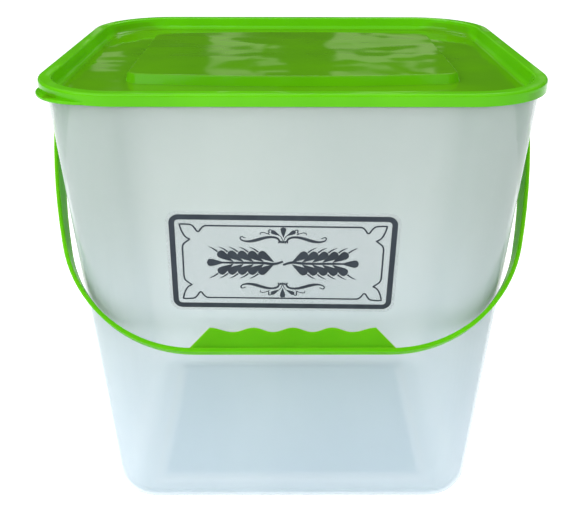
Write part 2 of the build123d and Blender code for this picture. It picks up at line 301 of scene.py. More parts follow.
def field_group() -> Tree:
    """Build the masks of a level rectangular field about the upright axis, below a ceiling, where painted shade
    and a painted highlight go.

    Returns:
        A group with inputs HalfX, HalfY, Soft and Ceiling and the outputs Inside and Edge.
    """
    sheet, given = new_group(
        "level_field", {"HalfX": 0.1, "HalfY": 0.1, "Soft": 0.002, "Ceiling": 0.01}, ["Inside", "Edge"]
    )
    place = sheet.parts(sheet.coordinates())
    outwards = sheet.maths("MAXIMUM", *(
        sheet.maths("SUBTRACT", sheet.maths("ABSOLUTE", place[axis]), given[half])
        for axis, half in (("X", "HalfX"), ("Y", "HalfY"))
    ))
    below = sheet.maths("LESS_THAN", place["Z"], given["Ceiling"])
    inside = sheet.spread(sheet.maths("MULTIPLY", outwards, -1.0), (0.0, given["Soft"]))
    edge = sheet.spread(sheet.maths("ABSOLUTE", outwards), (0.0, given["Soft"]), (1.0, 0.0))
    masks = {name: sheet.maths("MULTIPLY", mask, below) for name, mask in (("Inside", inside), ("Edge", edge))}
    sheet.add("NodeGroupOutput", masks)
    return sheet.tree


@dataclass(frozen=True)
class Effects:
    """The node groups that several finishes share."""

    ripple: Tree
    haze: Tree
    rise: Tree
    field: Tree

    def rippled(self, sheet: NodeSheet, wavelength: float, depth: float) -> Socket:
        """Place the ripple, and return the normal of a surface that it raises."""
        height = sheet.group(self.ripple, Wavelength=wavelength, Depth=depth).outputs["Height"]
        return sheet.add("ShaderNodeBump", {"Height": height, "Strength": 1.0, "Distance": 1.0}).outputs["Normal"]


@dataclass(frozen=True)
class Field:
    """A level rectangular part of a moulding whose colour a painted shade darkens."""

    half_x: float
    half_y: float
    soft: float
    ceiling: float
    # painted shade: the colour that darkens the field as if it got less light
    painted_shade: Colour
    wall_share: float = 0.5
    wall_to_level: tuple[float, float] = (0.3, 0.9)

    def mask(self, sheet: NodeSheet, effects: Effects, output: str, soft: float) -> Socket:
        """Place the field's Inside or Edge mask, which fades over the soft distance."""
        sizes = {"HalfX": self.half_x, "HalfY": self.half_y, "Soft": soft, "Ceiling": self.ceiling}
        return sheet.group(effects.field, **sizes).outputs[output]

    def levels(self, sheet: NodeSheet) -> Socket:
        """Return a share that is lower on the field's steep faces than on its level ones, so that the painted
        shade leaves the steep faces lighter.
        """
        return sheet.spread(sheet.parts(sheet.coordinates("Normal"))["Z"], self.wall_to_level,
                            (self.wall_share, 1.0), soft=False)


@dataclass(frozen=True)
class Moulded:
    """A finish of moulded plastic, film or ink."""

    name: str
    light: Colour
    dark: Colour
    haze_size: float
    smooth: float
    rough: float
    ripple_length: float
    ripple_depth: float
    solidity: float = 1.0
    index: float = 1.49
    glint: float = 0.5
    seep: float = 0.0
    seep_depth: float = 10.0 * MM
    field: Field | None = None

    def build(self, effects: Effects) -> Material:
        """Make the material.

        Args:
            effects: The shared node groups.

        Returns:
            The new material.
        """
        material, sheet = new_material(self.name)
        haze = sheet.group(
            effects.haze, Light=self.light, Dark=self.dark, Size=self.haze_size, Smooth=self.smooth,
            Rough=self.rough,
        ).outputs
        colour = haze["Color"]
        # painted shade over the field, lighter on its steep faces
        if self.field:
            inside = self.field.mask(sheet, effects, "Inside", self.field.soft)
            share = sheet.maths("MULTIPLY", inside, self.field.levels(sheet))
            colour = sheet.mix(share, colour, self.field.painted_shade, "MULTIPLY")
        sheet.surface("ShaderNodeBsdfPrincipled", {
            "Base Color": colour,
            "Roughness": haze["Roughness"],
            "Normal": effects.rippled(sheet, self.ripple_length, self.ripple_depth),
            "Alpha": self.solidity,
            "IOR": self.index,
            "Specular IOR Level": self.glint,
            "Subsurface Weight": self.seep,
            "Subsurface Radius": WHITE,
            "Subsurface Scale": self.seep_depth,
        })
        return material


@dataclass(frozen=True)
class Milky:
    """Milky see-through plastic, denser where it is looked along, with a painted shade: lighter and bluer at the
    base as if lit from the floor, darker and greener at the mouth under the green lid.
    """

    name: str = "milky_plastic"
    # painted shade: the low colours stand for light from the floor, the high ones for the lid's shade and green
    # light
    low_light: Colour = (0.715, 0.86, 0.965)
    low_dark: Colour = (0.665, 0.81, 0.925)
    high_light: Colour = (0.445, 0.532, 0.498)
    high_dark: Colour = (0.39, 0.477, 0.450)
    bottom: float = 10.0 * MM
    top: float = 215.0 * MM
    haze_size: float = 90.0 * MM
    smooth: float = 0.14
    rough: float = 0.22
    # painted shade: the base panel resting on the floor is darkened
    panel: Field = Field(84.6 * MM, 65.6 * MM, 7.0 * MM, 8.0 * MM, (0.82, 0.87, 0.89))
    # painted highlight: a pale line along the base panel's step
    painted_highlight_width: float = 2.0 * MM
    painted_highlight_colour: Colour = (0.97, 0.99, 1.0)
    low_density: float = 0.45
    high_density: float = 0.62
    low_edge_density: float = 0.35
    high_edge_density: float = 0.34
    panel_density: float = 0.80
    slant: float = 0.35
    ripple_length: float = 90.0 * MM
    ripple_depth: float = 0.3 * MM
    index: float = 1.3

    def density(self, sheet: NodeSheet, share: Socket, marked: Socket) -> Socket:
        """Work out how solid the plastic looks; its back faces aren't drawn.

        Args:
            sheet: The material's sheet.
            share: 0 at the base, 1 at the mouth.
            marked: The mask of the base panel and its edge.

        Returns:
            The socket.
        """
        facing = sheet.add("ShaderNodeLayerWeight", {"Blend": self.slant}).outputs["Facing"]
        plain, aslant = (
            sheet.spread(share, (0.0, 1.0), ends, soft=False)
            for ends in (
                (self.low_density, self.high_density),
                (self.low_edge_density, self.high_edge_density),
            )
        )
        walls = sheet.maths("ADD", plain, sheet.maths("MULTIPLY", facing, aslant))
        solid = sheet.maths("MAXIMUM", walls, sheet.maths("MULTIPLY", marked, self.panel_density))
        behind = sheet.add("ShaderNodeNewGeometry").outputs["Backfacing"]
        return sheet.maths("MULTIPLY", solid, sheet.maths("SUBTRACT", 1.0, behind))

    def build(self, effects: Effects) -> Material:
        """Make the material.

        Args:
            effects: The shared node groups.

        Returns:
            The new material.
        """
        material, sheet = new_material(self.name)
        # the painted shade from base to mouth
        light, dark = (
            sheet.group(effects.rise, Low=low, High=high, Bottom=self.bottom, Top=self.top).outputs
            for low, high in ((self.low_light, self.high_light), (self.low_dark, self.high_dark))
        )
        haze = sheet.group(effects.haze, Light=light["Color"], Dark=dark["Color"], Size=self.haze_size,
                           Smooth=self.smooth, Rough=self.rough).outputs
        # painted shade over the base panel
        inside = self.panel.mask(sheet, effects, "Inside", self.panel.soft)
        # painted highlight round the base panel
        edge = self.panel.mask(sheet, effects, "Edge", self.painted_highlight_width)
        shaded = sheet.mix(inside, haze["Color"], self.panel.painted_shade, "MULTIPLY")
        sheet.surface("ShaderNodeBsdfPrincipled", {
            "Base Color": sheet.mix(edge, shaded, self.painted_highlight_colour, "MIX"),
            "Roughness": haze["Roughness"],
            "Normal": effects.rippled(sheet, self.ripple_length, self.ripple_depth),
            "Alpha": self.density(sheet, light["Share"], sheet.maths("MAXIMUM", inside, edge)),
            "IOR": self.index,
        })
        return material


@dataclass(frozen=True)
class PhotoCamera:
    """The camera as it stood for the photograph."""

    azimuth: float = -0.31
    elevation: float = 25.53
    distance: float = 505.63 * MM
    aim_height: float = 130.0 * MM
    roll: float = 0.13
    focal_px: float = 795.67
    centre_px: tuple[float, float] = (291.89, 252.5)
    image_px: tuple[int, int] = (566, 508)
    sensor_width: float = 36.0
    clip: tuple[float, float] = (0.01, 20.0)

    def build(self) -> Piece:
        """Make the camera and set it as the scene's.

        Returns:
            The camera object.
        """
        turn, rise, roll = radians(self.azimuth), radians(self.elevation), radians(self.roll)
        back = Vector((sin(turn) * cos(rise), -cos(turn) * cos(rise), sin(rise)))
        right = Vector((0, 0, 1)).cross(back).normalized()
        up = back.cross(right)
        level = Matrix((right, up, back)).transposed().to_4x4()
        data = bpy.data.cameras.new("photo_camera")
        width, height = self.image_px
        data.sensor_width = self.sensor_width
        data.lens = self.focal_px / width * data.sensor_width
        data.shift_x = (width / 2 - self.centre_px[0]) / width
        data.shift_y = (self.centre_px[1] - height / 2) / width
        data.clip_start, data.clip_end = self.clip
        camera = bpy.data.objects.new("photo_camera", data)
        bpy.context.collection.objects.link(camera)
        place = Matrix.Translation(Vector((0, 0, self.aim_height)) + back * self.distance)
        camera.matrix_world = place @ level @ Matrix.Rotation(roll, 4, "Z")
        bpy.context.scene.camera = camera
        return camera


@dataclass(frozen=True)
class Lamp:
    """One soft rectangular lamp, aimed at a point."""

    name: str
    place: tuple[float, float, float]
    aim: tuple[float, float, float]
    size: tuple[float, float]
    power: float

    def build(self) -> Piece:
        """Make the lamp.

        Returns:
            The lamp object.
        """
        data = bpy.data.lights.new(self.name, "AREA")
        data.shape = "RECTANGLE"
        data.size, data.size_y = self.size
        data.energy = self.power
        lamp = bpy.data.objects.new(self.name, data)
        bpy.context.collection.objects.link(lamp)
        away = Vector(self.place) - Vector(self.aim)
        lamp.matrix_world = Matrix.Translation(self.place) @ away.to_track_quat("Z", "Y").to_matrix().to_4x4()
        return lamp


@dataclass(frozen=True)
class Studio:
    """Pale floor, white surroundings, soft lamps, and a room that only reflections show."""

    sky: float = 0.62
    floor_colour: Colour = (0.92, 0.93, 0.94)
    floor_rough: float = 0.9
    floor_glow: float = 0.52
    floor_gap: float = 0.1 * MM
    floor_half: float = 4.0
    room_radius: float = 1.3
    room_low: float = 0.27
    room_height: float = 1.1
    room_facets: int = 96
    room_colour: Colour = (1.0, 0.98, 0.70)
    room_dim: float = 0.04
    room_bright: float = 0.42
    pane_scale: float = 9.0
    pane_edge: float = 0.58
    pane_fade: float = 0.03
    lamps: tuple[Lamp, ...] = (
        Lamp("key", (-0.70, -0.72, 1.08), (0.0, 0.0, 0.15), (1.3, 1.3), 12.0),
        Lamp("fill", (0.75, -0.9, 0.95), (0.0, 0.0, 0.12), (1.3, 1.3), 3.7),
        Lamp("top_back", (0.1, 0.75, 1.05), (0.0, 0.0, 0.25), (0.8, 0.4), 3.5),
    )

    def build(self) -> None:
        """Make the floor, the room, the world and the lamps, and set the view."""
        self.build_floor()
        self.build_room()
        self.build_world()
        for lamp in self.lamps:
            lamp.build()
        bpy.context.scene.view_settings.view_transform = "Standard"

    def seen_by(self, sheet: NodeSheet, *rays: str) -> Socket:
        """Tell whether a ray is of one of some kinds.

        Args:
            sheet: The material's sheet.
            *rays: The kinds, at least two.

        Returns:
            A socket that is 1 for those rays.
        """
        kinds = sheet.add("ShaderNodeLightPath").outputs
        seen = kinds[f"Is {rays[0]} Ray"]
        for ray in rays[1:]:
            seen = sheet.maths("MAXIMUM", seen, kinds[f"Is {ray} Ray"])
        return seen

    def build_floor(self) -> None:
        """Make the floor, white to the camera but for the object's soft shadow."""
        deselect_all()
        bpy.ops.mesh.primitive_plane_add(size=2 * self.floor_half, location=(0, 0, -self.floor_gap))
        floor = bpy.context.object
        floor.name = "floor"
        material, sheet = new_material("floor")
        sheet.surface("ShaderNodeBsdfPrincipled", {
            "Base Color": self.floor_colour,
            "Roughness": self.floor_rough,
            "Specular IOR Level": 0.0,
            "Emission Color": WHITE,
            "Emission Strength": sheet.maths(
                "MULTIPLY", self.seen_by(sheet, "Camera", "Glossy", "Transmission"), self.floor_glow
            ),
        })
        floor.data.materials.append(material)

    def build_room(self) -> None:
        """Make a dim wall with a few bright windows round the set, which shows only in reflections."""
        deselect_all()
        bpy.ops.mesh.primitive_cylinder_add(
            vertices=self.room_facets, radius=self.room_radius, depth=self.room_height, end_fill_type="NOTHING",
            location=(0, 0, self.room_low + self.room_height / 2),
        )
        room = bpy.context.object
        room.name = "room_wall"
        for sees in ("camera", "diffuse", "transmission", "volume_scatter", "shadow"):
            setattr(room, f"visible_{sees}", False)
        material, sheet = new_material("room_wall")
        place = sheet.coordinates()
        panes = sheet.add("ShaderNodeTexNoise", {"Vector": place, "Scale": self.pane_scale, "Detail": 1.0})
        bright = sheet.spread(panes.outputs["Fac"], (self.pane_edge, self.pane_edge + self.pane_fade),
                              (self.room_dim, self.room_bright), soft=False)
        fade = sheet.spread(sheet.parts(place)["Z"], (0.0, self.room_height / 2))
        level = sheet.mix(fade, bright, self.sky)
        sheet.surface("ShaderNodeEmission", {"Color": self.room_colour, "Strength": level})
        room.data.materials.append(material)

    def build_world(self) -> None:
        """Make the surroundings: soft light, and plain white where they are seen."""
        world = bpy.data.worlds.new("surroundings")
        world.use_nodes = True
        bpy.context.scene.world = world
        sheet = NodeSheet(world.node_tree)
        strength = sheet.mix(self.seen_by(sheet, "Camera", "Transmission"), self.sky, 1.0)
        sheet.surface("ShaderNodeBackground", {"Color": WHITE, "Strength": strength}, "ShaderNodeOutputWorld")


@dataclass(frozen=True)
class Outline:
    """A level rounded rectangle about the upright axis."""

    width: float
    depth: float
    corner: float
    height: float

    def inset(self, by: float, height: float) -> "Outline":
        """Return the outline drawn in all round, at another height."""
        return Outline(self.width - 2 * by, self.depth - 2 * by, self.corner - by, height)

    def arc_centre(self, side: int, rise: int) -> Vector:
        """Return the middle of one corner's arc, in the quarter that the two signs name."""
        across = side * (self.width / 2 - self.corner)
        return Vector((across, rise * (self.depth / 2 - self.corner), self.height))

    def carries(self, point: Vector) -> bool:
        """Tell whether a point lies on the outline.

        Args:
            point: The point.

        Returns:
            True within a hundredth of a millimetre.
        """
        past_x = abs(point.x) - self.width / 2 + self.corner
        past_y = abs(point.y) - self.depth / 2 + self.corner
        rim = Vector((max(past_x, 0.0), max(past_y, 0.0))).length + min(max(past_x, past_y), 0.0) - self.corner
        return abs(rim) < SAME_PLACE and abs(point.z - self.height) < SAME_PLACE


def edit_mesh(piece: Piece) -> bmesh.types.BMesh:
    """Return the mesh of a piece in edit mode, its lists ready to be used by number."""
    mesh = bmesh.from_edit_mesh(piece.data)
    mesh.verts.ensure_lookup_table()
    mesh.edges.ensure_lookup_table()
    mesh.faces.ensure_lookup_table()
    return mesh


def keeps(edge: bmesh.types.BMEdge, axis: int) -> bool:
    """Tell whether an edge keeps its place along an axis."""
    return abs(edge.verts[0].co[axis] - edge.verts[1].co[axis]) < SAME_PLACE


def lies_at(edge: bmesh.types.BMEdge, axis: int, place: float) -> bool:
    """Tell whether an edge lies at a place along an axis."""
    return all(abs(vert.co[axis] - place) < SAME_PLACE for vert in edge.verts)


def select_where(piece: Piece, wanted: Callable[..., bool], kind: str = "edges") -> None:
    """Select the edges or faces that a test picks, and nothing else.

    Args:
        piece: A piece in edit mode.
        wanted: The test.
        kind: edges or faces.
    """
    select_all(False)
    for part in getattr(edit_mesh(piece), kind):
        if wanted(part):
            part.select_set(True)
    bmesh.update_edit_mesh(piece.data)


def select_points(piece: Piece, numbers: Iterable[int]) -> None:
    """Select points by number, and no others.

    Args:
        piece: A piece in edit mode.
        numbers: The points' numbers.
    """
    select_all(False)
    mesh = edit_mesh(piece)
    for number in numbers:
        mesh.verts[number].select_set(True)
    mesh.select_flush(True)
    bmesh.update_edit_mesh(piece.data)


def flat_plate(width: float, depth: float, place: Sequence[float] = (0, 0, 0), upright: bool = False) -> Piece:
    """Add a rectangular plate, left in edit mode with all of it selected.

    Args:
        width: Its size along X, or its height where it stands upright.
        depth: Its size along Y.
        place: Its middle.
        upright: Whether it faces along X instead of up.

    Returns:
        The plate.
    """
    deselect_all()
    bpy.ops.mesh.primitive_plane_add(size=1.0, rotation=(0.0, pi / 2 if upright else 0.0, 0.0))
    plate = bpy.context.object
    plate.scale = (width, depth, 1.0)
    plate.location = place
    bpy.ops.object.transform_apply(location=True, rotation=True, scale=True)
    edit_mode()
    select_all()
    return plate


def round_selected(run: float, steps: int, affect: str = "EDGES") -> None:
    """Round the selected EDGES, or the VERTICES of a flat face, as far as the run on each side."""
    bpy.ops.mesh.bevel(offset=run, offset_type="OFFSET", segments=steps, profile=0.5, affect=affect)


def rounded_plate(outline: Outline, steps: int) -> Piece:
    """Add a plate with rounded corners, left in edit mode with its face selected.

    Args:
        outline: The plate's outline.
        steps: Facets in each corner.

    Returns:
        The plate.
    """
    plate = flat_plate(outline.width, outline.depth, (0, 0, outline.height))
    round_selected(outline.corner, steps, "VERTICES")
    select_all()
    return plate


def point_outwards(merge: float = 0.0) -> None:
    """Turn the faces of the piece in edit mode outwards.

    Args:
        merge: Points closer than this are merged first.
    """
    select_all()
    if merge:
        bpy.ops.mesh.remove_doubles(threshold=merge)
    bpy.ops.mesh.normals_make_consistent(inside=False)


def carry_to(piece: Piece, start: Outline, end: Outline) -> None:
    """Extrude the selected face from one outline to the next, corner by corner.

    Args:
        piece: A piece in edit mode, its travelling face selected.
        start: Where the face is.
        end: Where it goes.
    """
    bpy.ops.mesh.extrude_region()
    moving = [vert.index for vert in edit_mesh(piece).verts if vert.select]
    growth = end.corner / start.corner
    for side in (-1, 1):
        for rise in (-1, 1):
            places = edit_mesh(piece).verts
            corner = [number for number in moving if places[number].co.x * side > 0 < places[number].co.y * rise]
            select_points(piece, corner)
            middle = start.arc_centre(side, rise)
            bpy.ops.transform.resize(value=(growth, growth, 1.0), center_override=middle)
            bpy.ops.transform.translate(value=end.arc_centre(side, rise) - middle)
    select_points(piece, moving)


def stacked_solid(outlines: Sequence[Outline], steps: int) -> Piece:
    """Make a closed solid whose surface runs through outlines in turn, left in edit mode.

    Args:
        outlines: From the first flat face to the last.
        steps: Facets in each corner.

    Returns:
        The solid.
    """
    solid = rounded_plate(outlines[0], steps)
    for start, end in zip(outlines, outlines[1:]):
        carry_to(solid, start, end)
    point_outwards()
    return solid


def round_outline(piece: Piece, outline: Outline, run: float, steps: int) -> None:
    """Round the edges that lie on an outline, as far as the run on each side."""
    select_where(piece, lambda edge: all(outline.carries(vert.co) for vert in edge.verts))
    round_selected(run, steps)


def apply_modifier(piece: Piece, kind: str, **settings: object) -> None:
    """Add a modifier to a piece and apply it.

    Args:
        piece: The piece.
        kind: The modifier's type.
        **settings: Its settings.
    """
    modifier = piece.modifiers.new(kind.lower(), kind)
    for key, value in settings.items():
        setattr(modifier, key, value)
    activate(piece)
    bpy.ops.object.modifier_apply(modifier=modifier.name)


def round_sharp_edges(piece: Piece, width: float, steps: int = 3) -> None:
    """Round all sharp edges of a piece to a width."""
    apply_modifier(piece, "BEVEL", width=width, segments=steps, limit_method="ANGLE", angle_limit=SHARP_TURN)


def unite(piece: Piece, other: Piece, operation: str = "UNION") -> None:
    """Join another solid to a piece, or cut it out, and use it up.

    Args:
        piece: The piece.
        other: The solid to join or cut.
        operation: UNION or DIFFERENCE.
    """
    deselect_all()
    apply_modifier(piece, "BOOLEAN", operation=operation, solver="EXACT", object=other)
    bpy.data.objects.remove(other)


def smooth(piece: Piece, angle: float = 32.0) -> None:
    """Shade a piece smooth over its roundings and flat on its flat faces.

    Args:
        piece: The piece.
        angle: Steeper edges than this, in degrees, stay sharp.
    """
    activate(piece)
    edit_mode()
    select_all()
    bpy.ops.mesh.remove_doubles(threshold=SAME_PLACE / 2)
    edit_mode(False)
    bpy.ops.object.shade_smooth_by_angle(angle=radians(angle))
    apply_modifier(piece, "WEIGHTED_NORMAL", keep_sharp=True, weight=100)


def disc(radius: float, thickness: float, centre: Vector, sideways: bool = False, top: float = 0.0) -> Piece:
    """Add a round disc or a truncated cone.

    Args:
        radius: Its radius.
        thickness: Its thickness.
        centre: Its middle.
        sideways: Whether its axis lies along X instead of upright.
        top: The radius at its far end, where it differs.

    Returns:
        The disc.
    """
    deselect_all()
    bpy.ops.mesh.primitive_cone_add(
        vertices=ROUND_FACETS, radius1=radius, radius2=top or radius, depth=thickness, location=centre,
        rotation=(0.0, pi / 2 if sideways else 0.0, 0.0),
    )
    bpy.ops.object.transform_apply(location=True, rotation=True)
    return bpy.context.object


def block(size: tuple[float, float, float], centre: Vector) -> Piece:
    """Add a plain block, to be joined to or cut from a piece.

    Args:
        size: Its size along X, Y and Z.
        centre: Its middle.

    Returns:
        The block.
    """
    deselect_all()
    bpy.ops.mesh.primitive_cube_add(size=1.0, location=centre)
    cube = bpy.context.object
    cube.scale = size
    bpy.ops.object.transform_apply(location=True, scale=True)
    return cube


def smooth_curve(
    points: Sequence[tuple[float, float, float]], sharp: Iterable[int], closed: bool, **settings: object
) -> bpy.types.Curve:
    """Draw a flat curve.

    Args:
        points: Across, up and the width's factor of each point that it runs through.
        sharp: The numbers of those where it turns sharply.
        closed: Whether its ends meet.
        **settings: Attributes of the curve.

    Returns:
        The curve.
    """
    curve = bpy.data.curves.new("line", "CURVE")
    for key, value in settings.items():
        setattr(curve, key, value)
    spline = curve.splines.new("BEZIER")
    spline.bezier_points.add(len(points) - 1)
    spline.use_cyclic_u = closed
    for number, (across, up, width) in enumerate(points):
        point = spline.bezier_points[number]
        point.co = (across, up, 0.0)
        point.radius = width
        point.handle_left_type = point.handle_right_type = "VECTOR" if number in sharp else "AUTO"
    return curve


def mesh_of(curve: bpy.types.Curve) -> Piece:
    """Turn a curve into a mesh.

    Args:
        curve: The curve.

    Returns:
        The mesh object.
    """
    line = bpy.data.objects.new(curve.name, curve)
    bpy.context.collection.objects.link(line)
    activate(line)
    bpy.ops.object.convert(target="MESH")
    return bpy.context.object


@dataclass(frozen=True)
class Studs:
    """The ribbed pivot studs on the side walls, which carry the handle's eyes."""

    pin: float = 4.5 * MM
    shoulder: float = 6.5 * MM
    head: float = 5.6 * MM
    head_far: float = 4.95 * MM
    head_thickness: float = 1.4 * MM
    root: float = 119.95 * MM
    shoulder_end: float = BAIL_HALF_WIDTH - STRAP_THICKNESS - EYE_SIDE_GAP
    head_start: float = BAIL_HALF_WIDTH + EYE_SIDE_GAP
    rib_reach: float = 5.0 * MM
    rib: float = 1.6 * MM

    def barrel(self, side: int, radius: float, end: float) -> Piece:
        """Make a round bar through one wall, from inside it out to the end's distance from the middle plane."""
        middle = Vector((side * (self.root + end) / 2, 0.0, PIVOT_HEIGHT))
        return disc(radius, end - self.root, middle, sideways=True)

    def build_ribs(self, side: int) -> list[Piece]:
        """Make the crossed ribs of one stud.

        Args:
            side: Which wall, -1 or 1.

        Returns:
            An upright plate and a level one, their outer corners cut off.
        """
        reach = self.shoulder + self.rib_reach
        length = self.shoulder_end - self.rib - self.root
        middle = Vector((side * (self.root + length / 2), 0.0, PIVOT_HEIGHT))
        plates = []
        for size, axis in (((length, self.rib, 2 * reach), 2), ((length, 2 * reach, self.rib), 1)):
            plate = block(size, middle)
            edit_mode()
            outer = side * (self.root + length)
            select_where(plate, lambda edge: lies_at(edge, 0, outer) and keeps(edge, axis))
            round_selected(self.rib_reach, 1)
            edit_mode(False)
            plates.append(plate)
        return plates

    def join_to(self, tub: Piece) -> None:
        """Join both studs to the tub.

        Args:
            tub: The tub.
        """
        for side in (-1, 1):
            for part in self.build_ribs(side):
                unite(tub, part)
            unite(tub, self.barrel(side, self.shoulder, self.shoulder_end))
            unite(tub, self.barrel(side, self.pin, self.head_start + self.head_thickness / 2))
            far = Vector((side * (self.head_start + self.head_thickness / 2), 0.0, PIVOT_HEIGHT))
            near, end = (self.head, self.head_far) if side > 0 else (self.head_far, self.head)
            unite(tub, disc(near, self.head_thickness, far, sideways=True, top=end))


@dataclass(frozen=True)
class Tub:
    """The milky tapered tub with its bead, foot ring, pushed-up base panel and studs."""

    mouth: Outline = Outline(243.6 * MM, 205.6 * MM, 40.8 * MM, 257.2 * MM)
    base_corner: float = 21.5 * MM
    draft: float = 3.65
    wall: float = 1.5 * MM
    floor: float = 1.8 * MM
    base_round: float = 19.0 * MM
    foot_ring: float = 3.0 * MM
    panel_lift: float = 2.4 * MM
    panel_corner: float = 7.0 * MM
    panel_draft: float = 15.0
    bead: float = 1.3 * MM
    bead_low: float = 3.4 * MM
    bead_high: float = 1.0 * MM
    bead_round: float = 0.6 * MM
    gate: float = 4.5 * MM
    gate_depth: float = 0.5 * MM
    corner_steps: int = 16
    base_steps: int = 10
    bead_steps: int = 3
    studs: Studs = Studs()

    def wall_at(self, height: float) -> Outline:
        """Return the outline of the outer wall at a height."""
        drop = self.mouth.height - height
        taper = 2 * drop * tan(radians(self.draft))
        corner = self.mouth.corner + (self.base_corner - self.mouth.corner) * drop / self.mouth.height
        return Outline(self.mouth.width - taper, self.mouth.depth - taper, corner, height)

    def round_run(self, radius: float) -> float:
        """Return how far a rounding between the wall and the base reaches on each side."""
        return radius / tan(radians((90 + self.draft) / 2))

    def panel(self, grow: float, height: float) -> Outline:
        """Return the outline of the pushed-up base panel, grown all round."""
        base = self.wall_at(0.0)
        margin = self.round_run(self.base_round) + self.foot_ring
        plain = Outline(base.width - 2 * margin, base.depth - 2 * margin, self.panel_corner, height)
        return plain.inset(-grow, height)

    def outlines(self) -> list[Outline]:
        """List the outlines that the tub's surface runs through.

        Returns:
            From the underside of the base panel, up the outside and down the inside.
        """
        slant = self.panel_lift * tan(radians(self.panel_draft))
        low, high = self.mouth.height - self.bead_low, self.mouth.height - self.bead_high
        inner_floor = self.wall_at(self.floor).inset(self.wall, self.floor)
        return [
            self.panel(-slant, self.panel_lift),
            self.panel(0.0, 0.0),
            self.wall_at(0.0),
            self.wall_at(low),
            self.mouth.inset(-self.bead, low),
            self.mouth.inset(-self.bead, high),
            self.wall_at(high),
            self.mouth,
            self.mouth.inset(self.wall, self.mouth.height),
            inner_floor,
            self.panel(self.wall, self.floor),
            self.panel(self.wall - slant, self.floor + self.panel_lift),
        ]

    def build(self, plastic: Material) -> Piece:
        """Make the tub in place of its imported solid.

        Args:
            plastic: The milky plastic.

        Returns:
            The tub.
        """
        tub = stacked_solid(self.outlines(), self.corner_steps)
        inner_floor = self.wall_at(self.floor).inset(self.wall, self.floor)
        for base, radius in ((self.wall_at(0.0), self.base_round), (inner_floor, self.base_round - self.wall)):
            round_outline(tub, base, self.round_run(radius), self.base_steps)
        for depth in (self.bead_low, self.bead_high):
            bead_edge = self.mouth.inset(-self.bead, self.mouth.height - depth)
            round_outline(tub, bead_edge, self.bead_round, self.bead_steps)
        edit_mode(False)
        self.studs.join_to(tub)
        unite(tub, disc(self.gate, 2 * self.gate_depth, Vector((0, 0, self.panel_lift))), "DIFFERENCE")
        return finish_piece(tub, "tub_moulding", Body.TUB, plastic, "tub")


